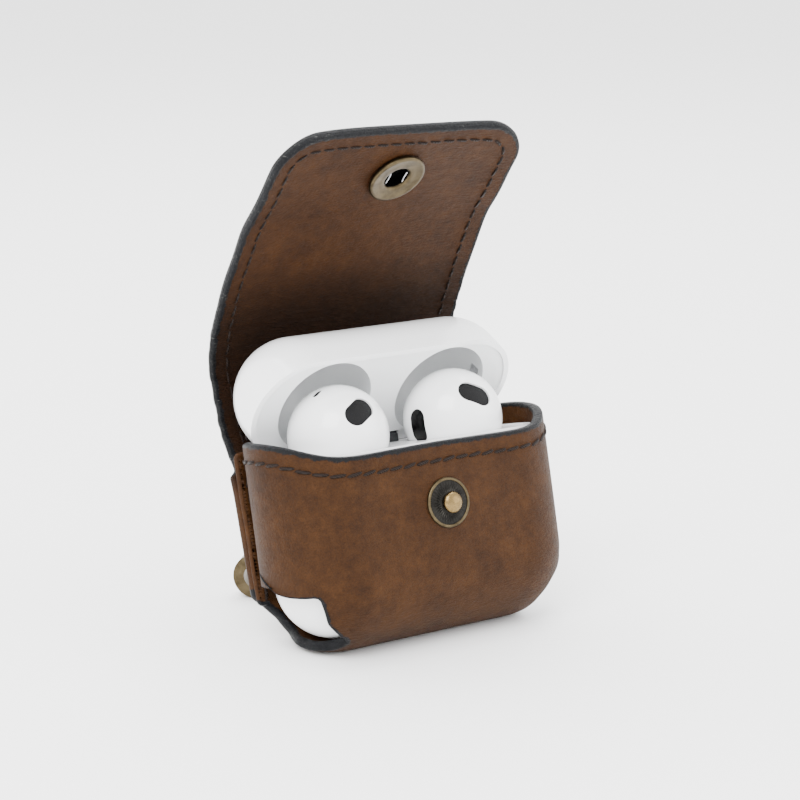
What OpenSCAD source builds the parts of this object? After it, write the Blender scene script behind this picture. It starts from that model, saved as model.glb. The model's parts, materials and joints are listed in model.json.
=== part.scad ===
// Leather snap sleeve with the charging case and the two earbuds that it holds.
// Millimetres. +Z up, front towards -Y. The sleeve leans back on its clasp.

/* [Charging case] */
// Width of the charging case
case_w = 54.4; // [50:0.2:58]
// Depth of the charging case
case_d = 21.4; // [20.6:0.2:24]
// Height of the charging case with its lid shut
case_h = 46.4; // [45:0.2:50]
// Height of the split between base and lid
split_h = 31.8; // [31:0.1:33]
// Wall of the base shell
case_wall = 1.3; // [1:0.1:1.5]
// Wall of the lid shell
lid_wall = 1.0; // [0.8:0.1:1.1]
// Angle of the open lid
lid_open = 50; // [40:1:54]
// Hinge axis in front of the case's back face
hinge_in = 1.1; // [1:0.1:1.3]
// Hinge axis above the split
hinge_up = 1.2; // [1.1:0.1:1.4]
// Radius of the hinge pin
pin_r = 0.4; // [0.3:0.05:0.5]

/* [Earbuds] */
// Radius of an earbud's head
bud_r = 8.9; // [8:0.1:8.95]
// Centre of a head from the middle of the case
bud_x = 12.3; // [11.6:0.1:13.4]
// Centre of a head above the split
bud_up = 2.8; // [2.4:0.1:3.2]
// Radius of an earbud's stem
stem_r = 2.7; // [2.2:0.1:2.9]
// Stem axis from the middle of the case
stem_x = 7.6; // [7:0.1:8.4]
// Length from the head's centre to the stem's end
bud_len = 21.5; // [19:0.5:22.5]
// Wall of an earbud's shell
bud_wall = 0.9; // [0.6:0.1:1.2]
// Gap round an earbud in its well
well_gap = 0.3; // [0.2:0.05:0.4]

/* [Leather sleeve] */
// Thickness of the leather
leather = 1.8; // [1.4:0.1:2.2]
// Gap between the leather and the charging case
fit_gap = 0.4; // [0.3:0.05:0.8]
// Height of the rim in the middle of the front
rim_front = 32.6; // [30:0.1:33.5]
// Rise of the rim towards the back, as a slope
rim_slope = 0.22; // [0.1:0.01:0.26]
// Width of the back panel and of the flap
strip_w = 52; // [48:0.5:54]
// Top of the stiff part of the back panel
back_top = 33; // [32.6:0.1:33.2]
// Width of the strip under the case
under_w = 39; // [34:0.5:42]
// Lower edge of the wrapped ears
ear_low = 9.8; // [8:0.1:12]
// Backward lean of the whole sleeve as it stands
lean = 13; // [8:0.5:16]
// Leather pressed flat where the sleeve rests
foot_flat = 0.5; // [0.3:0.05:0.8]

/* [Snap] */
// Height of the snap stud
stud_z = 23.2; // [21:0.1:24]
// Radius of the stud's flange
flange_r = 4.4; // [4:0.1:5]
// Height of the stud's head over the leather
stud_h = 2.2; // [1.8:0.1:2.4]
// Radius of the stud's head
stud_r = 2.0; // [1.8:0.05:2.1]
// Radius of the socket's ring
socket_r = 5.3; // [5:0.1:6]
// Radius of the hole in the socket
socket_hole = 2.4; // [2.35:0.05:2.6]
// Thickness of the socket's ring
socket_t = 1.3; // [1.1:0.1:1.4]

/* [Clasp] */
// Outer radius of the ring in the loop
ring_r = 4.6; // [4.4:0.1:5]
// Thickness of the ring's wire
ring_wire = 1.5; // [1.2:0.1:1.6]
// Outer radius of the hook's bow
bow_r = 4.2; // [4:0.1:4.4]
// Thickness of the hook
hook_t = 4.4; // [4:0.1:5]

/* [Hidden] */
$fn = 64;
eps = 0.01;

// The charging case stands inside the leather, its round bottom on the strip.
case_r = case_d / 2;
case_cx = case_w / 2 - case_r;
in_r = case_r + fit_gap;
out_r = in_r + leather;
case_z = leather + fit_gap;
ball_z = out_r;
split_z = case_z + split_h;
top_ball_z = case_z + case_h - case_r;
front_y = -out_r;
back_y = out_r + 0.05;

// Lid hinge
hinge_y = case_r - hinge_in;
hinge_z = split_z + hinge_up;
knuckle_r = hinge_in - 0.3;
knuckle_w = 6;
leaf_w = 3.6;
lid_gap = 0.1;
lid_relief = 0.75;

// Earbuds
bud_y = -0.2;
bud_z = split_z + bud_up;
stem_y = 0.4;
stem_end = bud_z - bud_len;
contact_h = 1.4;
cavity_r = bud_r + well_gap + 0.05;
cavity_back = 0.45;

// Openings on a head, as unit directions for the left earbud
grille_dir = [0, -0.886, 0.461];
sensor_dir = [0.98, -0.155, -0.055];
vent_dir = [-0.443, -0.138, 0.886];
patch_t = 0.3;

// Side line of the open flap, [y, z] on its inner face, from the back panel up.
// The first point of each piece lies on the hinge that bends the leather there.
base_line = [[out_r - leather, back_top], [13.3, 35.8], [15, 38.6], [16.3, 42.2]];
bend_line = [[16.3, 42.2], [17.2, 47], [16.9, 52], [14.1, 57.5]];
crown_line = [[14.1, 57.5], [11.2, 61], [8.3, 64.4]];
front_line = [[8.3, 64.4], [5.5, 67.5], [2.2, 70.7], [-1.2, 73.8]];
end_start = front_line[3];
end_angle = 36;
end_len = 22.5;
end_round = 9;
bend_gap = 0.15;
socket_along = 10.7;
stitch_in = 3.2;
stitch_len = 2.4;
stitch_gap = 0.9;
thread_t = 0.35;

// ---- Frames ---------------------------------------------------------------

// From the sleeve's own frame to the frame in which it stands, leaning back
module stand() {
    translate([0, 0, ball_z - foot_flat]) rotate([-lean, 0, 0])
        translate([0, 0, -ball_z]) children();
}

// Swings a lid piece from shut to its open rest position
module opened() {
    translate([0, hinge_y, hinge_z]) rotate([-lid_open, 0, 0])
        translate([0, -hinge_y, -hinge_z]) children();
}

// Puts the free end of the flap, built flat along +Y, in its place
module flap_end_place() {
    translate([0, end_start[0], end_start[1]]) rotate([0, 0, 180])
        rotate([end_angle, 0, 0]) children();
}

// Turns +Z to a direction
module aim(d) {
    rotate([0, acos(d[2] / norm(d)), atan2(d[1], d[0])]) children();
}

// ---- Shared shapes --------------------------------------------------------

// A cup with round ends and a round bottom, from its ball centres up to a height
module round_cup(cx, r, zc, zt) {
    for (s = [-1, 1]) translate([s * cx, 0, zc]) rotate([0, 0, 90]) rotate_extrude()
        intersection() {
            cup_side(r, zt - zc);
            translate([0, -r]) square([r, zt - zc + r]);
        }
    translate([0, 0, zc]) across(2 * cx) cup_side(r, zt - zc);
}

// Side outline of a cup: straight sides of height h over a half circle
module cup_side(r, h) {
    intersection() {
        union() {
            circle(r = r);
            translate([-r, 0]) square([2 * r, h]);
        }
        translate([-r, -r]) square([2 * r, r + h]);
    }
}

// The same cup upside down: a round top over straight sides
module round_cap(cx, r, zb, zc) {
    translate([0, 0, zc]) mirror([0, 0, 1]) round_cup(cx, r, 0, zc - zb);
}

module stadium(cx, r, z0, z1) {
    translate([0, 0, z0]) {
        for (s = [-1, 1]) translate([s * cx, 0, 0]) cylinder(r = r, h = z1 - z0);
        translate([-cx, -r, 0]) cube([2 * cx, 2 * r, z1 - z0]);
    }
}

// A side outline, [y, z], drawn out across the width
module across(w) {
    translate([-w / 2, 0, 0]) rotate([90, 0, 90]) linear_extrude(height = w) children();
}

// A capsule outline of length l and radius r
module capsule(l, r) {
    for (s = [-1, 1]) translate([s * l / 2, 0]) circle(r = r);
    square([l, 2 * r], center = true);
}

// Unit vector of a step, and the outward side of it
function step(a, b) = (b - a) / norm(b - a);
function outward(v) = [v[1], -v[0]];
function tangent(p, i) = step(p[max(i - 1, 0)], p[min(i + 1, len(p) - 1)]);
function shifted(p, t) = [for (i = [0:len(p) - 1]) p[i] + t * outward(tangent(p, i))];
function trimmed(p, a, b) = let (n = len(p) - 1)
    [for (i = [0:n]) i == 0 ? p[0] + a * tangent(p, 0) :
        i == n ? p[n] - b * tangent(p, n) : p[i]];
function backwards(p) = [for (i = [len(p) - 1:-1:0]) p[i]];

// A band of leather over a side line, short of its far end by a gap
module band(line, w, far) {
    p = trimmed(line, bend_gap, far);
    across(w) polygon(concat(p, backwards(shifted(p, leather))));
}

// ---- Leather --------------------------------------------------------------

module sleeve_body() {
    difference() {
        union() {
            round_cup(case_cx, out_r, ball_z, back_top + 6);
            translate([-strip_w / 2, out_r - 2 * leather, ear_low])
                cube([strip_w, back_y - out_r + 2 * leather, back_top + 6 - ear_low]);
        }
        round_cup(case_cx, in_r, ball_z, back_top + 7);
        rim_cut();
        for (s = [-1, 1]) corner_notch(s);
        translate([0, front_y, stud_z]) rotate([-90, 0, 0])
            cylinder(r = stud_bore, h = leather + 1);
        translate([0, -in_r - cap_t, stud_z]) rotate([-90, 0, 0])
            cylinder(r = flange_r + 0.1, h = cap_t + 1);
    }
}

stud_bore = 1.2;
cap_t = 0.5;

// Everything above the rim, which climbs from the front to the back panel, where
// the flap folds
module rim_cut() {
    knee = out_r - 2 * leather - 1.9;
    rise = rim_front + rim_slope * (knee - front_y);
    fold = base_line[0] + 3 * outward(step(base_line[0], base_line[1]));
    across(80) polygon([[front_y - 1, rim_front - rim_slope], [knee, min(rise, back_top + 4.6)],
        [knee, back_top], base_line[0], fold, [back_y + 3, fold[1]], [back_y + 3, 60], [front_y - 1, 60]]);
}

// The open lower corner, where the ear ends above the strip under the case
module corner_notch(s) {
    translate([0, -9, 0]) rotate([-90, 0, 0]) linear_extrude(height = 60)
        polygon([for (p = [[60, ear_low], [under_w / 2 + 4.5, ear_low], [under_w / 2 + 2, 6],
            [under_w / 2, 4], [under_w / 2, -9], [60, -9]]) [s * p[0], -p[1]]]);
}

module sleeve_leather() {
    color("#8a5c38") difference() {
        stand() sleeve_body();
        translate([-50, -50, -30]) cube([100, 100, 30]);
    }
}

module flap_base() { color("#7d5232") stand() band(base_line, strip_w, bend_gap); }
module flap_bend() { color("#7d5232") stand() band(bend_line, strip_w, bend_gap); }
module flap_crown() { color("#7d5232") stand() band(crown_line, strip_w, bend_gap); }

module flap_front() {
    color("#7d5232") stand() difference() {
        union() {
            band(front_line, strip_w, -0.05);
            flap_end_place() linear_extrude(height = leather) end_outline(0);
        }
        flap_end_place() translate([0, socket_along, -1])
            cylinder(r = socket_hole + 0.32, h = leather + 2);
    }
}

// Outline of the flap's free end with its two round corners
module end_outline(inset) {
    w = strip_w / 2 - inset;
    l = end_len - inset;
    r = end_round - inset;
    translate([-w, 0]) square([2 * w, l - r]);
    translate([-w + r, 0]) square([2 * (w - r), l]);
    for (s = [-1, 1]) translate([s * (w - r), l - r]) circle(r = r);
}

// ---- Thread ---------------------------------------------------------------

// A row of stitches from a to b
module stitch_row(a, b) {
    run = norm(b - a);
    n = max(1, floor(run / (stitch_len + stitch_gap)));
    d = (b - a) / run;
    for (i = [0:n - 1]) translate(a + d * (i + 0.5) * run / n) aim(d)
        cube([thread_t * 2, thread_t * 2, stitch_len], center = true);
}

module seam_thread(s) {
    color("#2a1c15") stand() stitch_row([s * (strip_w / 2 - 2.2), back_y + thread_t, ear_low + 2],
        [s * (strip_w / 2 - 2.2), back_y + thread_t, back_top - 2]);
}
module seam_thread_left() { seam_thread(-1); }
module seam_thread_right() { seam_thread(1); }

module rim_thread() {
    color("#2a1c15") stand() stitch_row([-case_cx, front_y - thread_t, rim_front - 3],
        [case_cx, front_y - thread_t, rim_front - 3]);
}

// Stitches on the inner face of a flap piece, along both edges
module edge_thread(line) {
    color("#2a1c15") stand() for (s = [-1, 1]) for (i = [0:len(line) - 2]) {
        p = shifted(line, -thread_t - 0.04);
        stitch_row([s * (strip_w / 2 - stitch_in), p[i][0], p[i][1]],
            [s * (strip_w / 2 - stitch_in), p[i + 1][0], p[i + 1][1]]);
    }
}
module flap_thread_base() { edge_thread(trimmed(base_line, 1, 1)); }
module flap_thread_bend() { edge_thread(trimmed(bend_line, 1, 1)); }
module flap_thread_crown() { edge_thread(trimmed(crown_line, 1, 1)); }

module flap_thread_front() {
    edge_thread(trimmed(front_line, 1, 0));
    w = strip_w / 2 - stitch_in;
    color("#2a1c15") stand() flap_end_place() {
        for (s = [-1, 1]) stitch_row([s * w, 0, -thread_t], [s * w, end_len - end_round, -thread_t]);
        stitch_row([-w + end_round - stitch_in, end_len - stitch_in, -thread_t],
            [w - end_round + stitch_in, end_len - stitch_in, -thread_t]);
    }
}

// ---- Snap -----------------------------------------------------------------

// The snap stud's frame: +Z out of the front panel
module stud_place() {
    stand() translate([0, front_y, stud_z]) rotate([90, 0, 0]) children();
}

flange_t = 0.45;
plate_r = flange_r - 0.9;

module stud_flange() {
    color("#7a6a45") stud_place() rotate_extrude() {
        translate([flange_r - 0.45, flange_t / 2]) circle(r = flange_t / 2);
        translate([plate_r, 0]) square([flange_r - 0.45 - plate_r, flange_t]);
    }
}

module stud_ribbed_plate() {
    color("#2b2a28") stud_place() {
        difference() {
            cylinder(r = plate_r, h = 0.3);
            translate([0, 0, -1]) cylinder(r = stud_bore, h = 3);
        }
        for (i = [0:19]) rotate([0, 0, i * 18]) translate([1.7, -0.12, 0.3 - eps])
            cube([plate_r - 1.9, 0.24, 0.2]);
    }
}

module stud_post() {
    color("#9c8650") stud_place() rotate_extrude() polygon([[0, -leather - 0.1], [stud_bore, -leather - 0.1],
        [stud_bore, 0.9], [stud_r, 1.3], [stud_r, 1.7], [stud_r - 0.5, stud_h], [0, stud_h]]);
}

module stud_back_cap() {
    color("#9c8650") stud_place() translate([0, 0, -leather]) difference() {
        cylinder(r = flange_r, h = cap_t - 0.1);
        translate([0, 0, -1]) cylinder(r = stud_bore, h = 3);
    }
}

// The socket's frame on the inner face of the flap: +Z out of the leather
module socket_place() {
    stand() flap_end_place() translate([0, socket_along, 0]) rotate([180, 0, 0]) children();
}

module socket_ring() {
    color("#8f7d52") socket_place() rotate_extrude() polygon([[socket_hole, -leather],
        [socket_hole + 0.3, -leather], [socket_hole + 0.3, 0], [socket_r - 0.4, 0], [socket_r, 0.5],
        [socket_r - 0.3, 0.95], [socket_hole + 0.9, socket_t], [socket_hole, socket_t - 0.3]]);
}

module socket_spring() {
    color("#3a3a3a") socket_place() for (s = [-1, 1])
        translate([s * (stud_r + 0.17), 0, 0.6]) rotate([90, 0, 0]) cylinder(r = 0.15, h = 1.1, center = true);
}

module socket_cap() {
    color("#8f7d52") socket_place() translate([0, 0, -leather]) rotate([180, 0, 0])
        rotate_extrude() polygon([[0, 0], [socket_r + 0.9, 0], [socket_r + 0.9, 0.3],
            [socket_r + 0.2, 0.9], [socket_r - 2, 1.3], [0, 1.5]]);
}

// ---- Charging case --------------------------------------------------------

well_r = bud_r + well_gap;
tray_low = split_z - 7.5;
tray_r = case_r - case_wall;
tube_wall = 0.9;
tube_low = stem_end - 1.2;
contact_r = 0.35;
port_w = 9;
port_h = 3.2;
button_r = 2.6;
button_z = case_z + 16;
button_t = 1.1;
light_z = case_z + 22;
light_r = 0.6;
board_y = 4.9;
board_t = 0.8;

module base_shell() {
    color("white") stand() difference() {
        round_cup(case_cx, case_r, case_z + case_r, split_z);
        round_cup(case_cx, tray_r, case_z + case_r, split_z + 1);
        translate([0, case_r - 3, button_z]) rotate([-90, 0, 0]) cylinder(r = button_r + 0.15, h = 5);
        translate([0, -case_r - 2, light_z]) rotate([-90, 0, 0]) cylinder(r = light_r, h = 5);
        translate([0, 0, case_z - 1]) linear_extrude(height = 4) capsule(port_w - port_h, port_h / 2);
    }
}

module bud_tray() {
    color("whitesmoke") stand() difference() {
        union() {
            stadium(case_cx, tray_r - 0.05, tray_low, split_z - 0.2);
            for (s = [-1, 1]) translate([s * stem_x, stem_y, tube_low])
                cylinder(r = stem_r + well_gap + tube_wall, h = tray_low - tube_low + 1);
        }
        for (s = [-1, 1]) {
            translate([s * bud_x, bud_y, bud_z]) sphere(r = well_r);
            translate([s * stem_x, stem_y, stem_end - 0.2]) cylinder(r = stem_r + well_gap, h = 30);
            for (x = [-1, 1]) translate([s * stem_x + x, stem_y, tube_low - 1])
                cylinder(r = contact_r + 0.03, h = 3);
        }
        hinge_room();
    }
}

// Space that the hinge bracket takes at the back of the tray
module hinge_room() {
    translate([-knuckle_w - 0.2, hinge_y - 1.2, split_z - 3.6]) cube([2 * knuckle_w + 0.4, 3, 5]);
}

module well_contacts() {
    color("gold") stand() for (s = [-1, 1]) for (x = [-1, 1])
        translate([s * stem_x + x, stem_y, tube_low - 0.6]) cylinder(r = contact_r, h = 1.5);
}

cell_w = 9.5;
cell_h = 15;

module battery_cells() {
    color("dimgray") stand() for (s = [-1, 1])
        translate([s * (case_cx + 0.2) - cell_w / 2, -4.5, tray_low - cell_h - 0.1]) cube([cell_w, 9, cell_h]);
}

module charging_board() {
    color("darkgreen") stand() union() {
        translate([-10.5, board_y, case_z + 7.2]) cube([21, board_t, 13]);
        translate([-10.5, -4.2, case_z + 6.4]) cube([21, board_y + board_t + 4.2, 0.8]);
    }
}

module charging_port() {
    color("silver") stand() translate([0, 0, case_z + 0.9]) difference() {
        linear_extrude(height = 5.5) capsule(port_w - port_h - 0.3, port_h / 2 - 0.1);
        translate([0, 0, -1]) linear_extrude(height = 5.5) capsule(port_w - port_h - 0.3, port_h / 2 - 0.5);
    }
}

module status_light() {
    color("palegreen") stand() translate([0, -case_r + 0.05, light_z]) rotate([-90, 0, 0])
        cylinder(r = light_r - 0.05, h = case_wall - 0.1);
}

module pairing_button() {
    color("white") stand() translate([0, case_r - 0.1, button_z]) rotate([90, 0, 0]) {
        cylinder(r = button_r, h = button_t);
        cylinder(r = 0.8, h = case_r - 0.1 - board_y - board_t - 1.9);
    }
}

module button_switch() {
    color("black") stand() translate([-1.6, board_y + board_t, button_z - 1.6]) cube([3.2, 1.2, 3.2]);
}

// Bracket on the case's back wall with one knuckle at each side of the lid's
module hinge_bracket() {
    color("#6e7072") stand() difference() {
        union() {
            translate([-knuckle_w, hinge_y - 1.1, split_z - 3.5]) cube([2 * knuckle_w, 0.85, 3.5]);
            for (s = [0, 1]) mirror([s, 0, 0]) {
                translate([leaf_w / 2 + lid_gap, hinge_y, hinge_z]) rotate([0, 90, 0])
                    cylinder(r = knuckle_r, h = knuckle_w - leaf_w / 2 - lid_gap);
                translate([leaf_w / 2 + lid_gap, hinge_y - 1.1, split_z - 0.5])
                    cube([knuckle_w - leaf_w / 2 - lid_gap, 0.85, hinge_z - split_z + 0.5]);
            }
        }
        translate([-20, hinge_y, hinge_z]) rotate([0, 90, 0]) cylinder(r = pin_r, h = 40);
    }
}

module hinge_pin() {
    color("silver") stand() translate([-knuckle_w, hinge_y, hinge_z]) rotate([0, 90, 0])
        cylinder(r = pin_r, h = 2 * knuckle_w);
}

// Leaf of the lid, round the pin between the bracket's knuckles
module lid_leaf() {
    color("#6e7072") stand() opened() difference() {
        union() {
            translate([-leaf_w / 2, hinge_y, hinge_z]) rotate([0, 90, 0])
                cylinder(r = knuckle_r, h = leaf_w);
            translate([-leaf_w / 2, hinge_y - knuckle_r, hinge_z]) cube([leaf_w, 0.7, 4]);
        }
        translate([-20, hinge_y, hinge_z]) rotate([0, 90, 0]) cylinder(r = pin_r + 0.05, h = 40);
    }
}

// Room for the hinge and for the lid's back edge as it swings below the split
module lid_hinge_room(deep) {
    translate([-knuckle_w - 0.3, hinge_y - 1.4, split_z - 1]) cube([2 * knuckle_w + 0.6, 5, hinge_z - split_z + 2.1]);
    translate([-case_cx - 6, hinge_y - 1.4, split_z - 1]) cube([2 * case_cx + 12, 5, 1 + lid_relief]);
    translate([-leaf_w / 2 - 0.1, hinge_y - deep, split_z]) cube([leaf_w + 0.2, 3, hinge_z - split_z + 4.2]);
}

module lid_shell() {
    color("white") stand() opened() difference() {
        round_cap(case_cx, case_r, split_z + lid_gap, top_ball_z);
        round_cap(case_cx, case_r - lid_wall, split_z - 1, top_ball_z);
        lid_hinge_room(0);
    }
}

module lid_liner() {
    color("#d9dadb") stand() opened() difference() {
        round_cap(case_cx, case_r - lid_wall - 0.03, split_z + lid_gap + 0.3, top_ball_z);
        for (s = [-1, 1]) for (back = [0, cavity_back]) translate([s * bud_x, bud_y + back, bud_z]) {
            sphere(r = cavity_r);
            translate([0, 0, -10]) cylinder(r = cavity_r, h = 10);
        }
        lid_hinge_room(knuckle_r + 0.1);
        for (s = [-1, 1]) translate([s * magnet_x, 0, magnet_z]) cube([4.2, 4.2, 2.2], center = true);
    }
}

magnet_x = 23.4;
magnet_z = split_z + 3;

module lid_magnets() {
    color("silver") stand() opened() for (s = [-1, 1]) translate([s * magnet_x, 0, magnet_z])
        cube([4, 4, 2], center = true);
}

// ---- Earbuds --------------------------------------------------------------

// side is -1 for the left earbud and 1 for the right; shapes are drawn for the left
module bud_place(side) {
    stand() mirror([side > 0 ? 1 : 0, 0, 0]) translate([-bud_x, bud_y, bud_z]) children();
}

stem_off = bud_x - stem_x;

module bud_outer(inset) {
    rotate([0, 0, 37]) sphere(r = bud_r - inset);
    translate([stem_off, stem_y - bud_y, -bud_len + contact_h])
        cylinder(r = stem_r - inset, h = bud_len - contact_h - 4);
}

module grille_hole(grow) {
    aim(grille_dir) translate([0, 0, bud_r - 2]) linear_extrude(height = 4)
        rotate(-60) capsule(2.4, 1.9 + grow);
}
module sensor_hole(grow) {
    aim(sensor_dir) translate([0, 0, bud_r - 2]) linear_extrude(height = 4) capsule(2.6, 1.7 + grow);
}
module vent_hole(grow) {
    aim(vent_dir) translate([0, 0, bud_r - 2]) linear_extrude(height = 4) capsule(1.0, 0.5 + grow);
}

module bud_shell(side) {
    color("white") bud_place(side) difference() {
        bud_outer(0);
        rotate([0, 0, 37]) sphere(r = bud_r - bud_wall);
        translate([stem_off, stem_y - bud_y, -bud_len + contact_h - 1])
            cylinder(r = stem_r - bud_wall, h = bud_len - contact_h - 3);
        grille_hole(0.05);
        sensor_hole(0.05);
        vent_hole(0.05);
    }
}

// A thin curved insert in one of the head's openings
module insert(sink) {
    intersection() {
        difference() {
            sphere(r = bud_r - sink);
            sphere(r = bud_r - sink - patch_t);
        }
        children();
    }
}

module bud_grille(side) { color("#1c1c1e") bud_place(side) insert(0.35) grille_hole(0); }
module bud_sensor(side) { color("#141416") bud_place(side) insert(0.05) sensor_hole(0); }
module bud_vent(side) { color("#1c1c1e") bud_place(side) insert(0.15) vent_hole(0); }

module bud_driver(side) {
    color("silver") bud_place(side) aim(grille_dir) translate([0, 0, 3.3]) {
        cylinder(r = 5.4, h = 2.2);
        translate([0, 0, -1.6]) cylinder(r = 3.6, h = 1.61);
    }
}

module bud_cell(side) {
    color("dimgray") bud_place(side) translate([stem_off, stem_y - bud_y, -bud_len + contact_h + 0.6])
        cylinder(r = stem_r - bud_wall - 0.1, h = 9);
}

module bud_contact(side) {
    color("silver") bud_place(side) translate([stem_off, stem_y - bud_y, -bud_len]) rotate_extrude()
        polygon([[0, 0], [stem_r - 0.4, 0], [stem_r, 0.4], [stem_r, contact_h], [stem_r - bud_wall, contact_h],
            [stem_r - bud_wall, contact_h + 0.5], [0, contact_h + 0.5]]);
}

module left_bud_shell() { bud_shell(-1); }
module left_bud_grille() { bud_grille(-1); }
module left_bud_sensor() { bud_sensor(-1); }
module left_bud_vent() { bud_vent(-1); }
module left_bud_driver() { bud_driver(-1); }
module left_bud_cell() { bud_cell(-1); }
module left_bud_contact() { bud_contact(-1); }
module right_bud_shell() { bud_shell(1); }
module right_bud_grille() { bud_grille(1); }
module right_bud_sensor() { bud_sensor(1); }
module right_bud_vent() { bud_vent(1); }
module right_bud_driver() { bud_driver(1); }
module right_bud_cell() { bud_cell(1); }
module right_bud_contact() { bud_contact(1); }

// ---- Loop and clasp -------------------------------------------------------

tab_w = 5.6;
tab_t = 1.2;
tab_top = 29.5;
loop_in = ring_wire / 2 + 0.2;
loop_out = loop_in + tab_t;
rivet_r = 2.2;
rivet_z = 26;
bar_y = back_y + loop_out;
bar_z = 19;
bow_len = 5.6;
ring_tilt = 30;
eye_r = 3.1;
eye_wire = 1;
eye_slack = 0.3;
eye_twist = 25;
clasp_len = 18.6;
barrel_z = 5.0;
barrel_r = 1.7;
barrel_h = 3;
bar_at = [0, bar_y * cos(lean) + (bar_z - ball_z) * sin(lean),
    ball_z - foot_flat - bar_y * sin(lean) + (bar_z - ball_z) * cos(lean)];
bow_at = bar_at + bow_len * [0, cos(ring_tilt), -sin(ring_tilt)];
clasp_turn = 45;
clasp_fall = asin((bow_at[2] - bow_r) / clasp_len);
eye_pos = [0, 0, eye_slack];

module loop_tab() {
    color("#7d5232") stand() difference() {
        union() {
            translate([-tab_w / 2, back_y, bar_z]) cube([tab_w, tab_t, tab_top - bar_z]);
            translate([-tab_w / 2, bar_y, bar_z]) rotate([0, 90, 0]) cylinder(r = loop_out, h = tab_w);
        }
        translate([-tab_w, bar_y, bar_z]) rotate([0, 90, 0]) cylinder(r = loop_in, h = 2 * tab_w);
        translate([0, back_y - 1, rivet_z]) rotate([-90, 0, 0]) cylinder(r = 1, h = 4);
    }
}

module loop_rivet() {
    color("#8f7d52") stand() translate([0, back_y, rivet_z]) rotate([-90, 0, 0]) rotate_extrude()
        polygon([[0, 0], [1, 0], [1, tab_t], [rivet_r, tab_t], [rivet_r - 0.3, tab_t + 0.5],
            [0, tab_t + 0.8]]);
}

// D-shaped ring: a straight bar in the loop and a round bow behind it
module hang_ring() {
    bar = 2 * ring_r - ring_wire;
    color("#8f7d52") translate(bar_at) rotate([-ring_tilt, 0, 0]) {
        translate([-bar / 2, 0, 0]) rotate([0, 90, 0]) cylinder(r = ring_wire / 2, h = bar);
        for (s = [-1, 1]) translate([s * bar / 2, 0, 0]) {
            sphere(r = ring_wire / 2);
            rotate([-90, 0, 0]) cylinder(r = ring_wire / 2, h = bow_len - bar / 2);
        }
        translate([0, bow_len - bar / 2, 0]) rotate_extrude(angle = 180)
            translate([bar / 2, 0]) circle(r = ring_wire / 2);
    }
}

module clasp_frame() {
    translate(bow_at) rotate([0, 0, clasp_turn]) rotate([-90 - clasp_fall, 0, 0]) children();
}

// Eye round the ring, with the post that the hook turns on
module clasp_swivel() {
    color("#8f7d52") clasp_frame() {
        rotate([0, 0, eye_twist]) translate(eye_pos) rotate([0, 90, 0]) rotate_extrude()
            translate([eye_r, 0]) circle(r = eye_wire / 2);
        translate([0, 0, eye_slack + eye_r + 0.2]) cylinder(r = 0.7, h = barrel_z + barrel_h - eye_slack - eye_r + 0.3);
        translate([0, 0, barrel_z + barrel_h + 0.1]) cylinder(r = 1.1, h = 0.6);
    }
}

hook_in = 2.2;
cheek_t = 0.9;
lever_low = 9.2;
lever_cheek = 12.9;
lever_pin_at = [2.5, 10.6];
lever_pin_r = 0.4;

// A flat shape in the clasp's own plane, with the clasp's axis along its Y, made thick
module plate(t) {
    clasp_frame() translate([-t / 2, 0, 0]) rotate([90, 0, 90]) linear_extrude(height = t)
        mirror([1, 0]) children();
}

// Outline of the hook; open is the lowest point from which the lever's gap is cut
module hook_outline(open) {
    difference() {
        union() {
            translate([0, clasp_len]) circle(r = bow_r);
            polygon([[-barrel_r, barrel_z + barrel_h - 0.5], [barrel_r, barrel_z + barrel_h - 0.5],
                [3.6, 11.2], [bow_r - 0.1, clasp_len - 1], [-bow_r + 0.1, clasp_len - 1], [-3.2, 11.2]]);
        }
        translate([0, clasp_len]) circle(r = hook_in);
        polygon([[-hook_in, clasp_len], [-1.4, 13.2], [1.2, 13.2], [hook_in, clasp_len]]);
        polygon([[0.9, open], [6, open], [6, clasp_len - 0.2], [1.6, clasp_len - 0.2]]);
    }
}

module clasp_hook() {
    color("#8f7d52") difference() {
        union() {
            plate(hook_t - 2 * cheek_t) hook_outline(lever_low);
            for (s = [-1, 1]) clasp_frame() translate([s * (hook_t - cheek_t) / 2, 0, 0])
                rotate([90, 0, 90]) linear_extrude(height = cheek_t, center = true)
                    mirror([1, 0]) hook_outline(lever_cheek);
            clasp_frame() translate([0, 0, barrel_z]) cylinder(r = barrel_r, h = barrel_h);
        }
        clasp_frame() translate([0, 0, barrel_z - 1]) cylinder(r = 0.8, h = barrel_h + 2.2);
        clasp_frame() translate([0, 0, barrel_z + barrel_h]) cylinder(r = 1.2, h = 0.8);
        lever_pin_shape(lever_pin_r);
    }
}

module lever_pin_shape(r) {
    clasp_frame() translate([0, -lever_pin_at[0], lever_pin_at[1]]) rotate([0, 90, 0])
        cylinder(r = r, h = hook_t, center = true);
}

module clasp_lever() {
    color("#9c8a5c") difference() {
        plate(hook_t - 2 * cheek_t - 0.4) polygon([[1.8, 9.7], [3.4, 9.6], [3.8, 12], [4.1, 16],
            [3.9, clasp_len - 0.5], [2.5, clasp_len - 0.5], [2.4, 14.5], [1.8, 12.6]]);
        lever_pin_shape(lever_pin_r + 0.05);
    }
}

module clasp_lever_pin() { color("silver") lever_pin_shape(lever_pin_r); }

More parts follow.
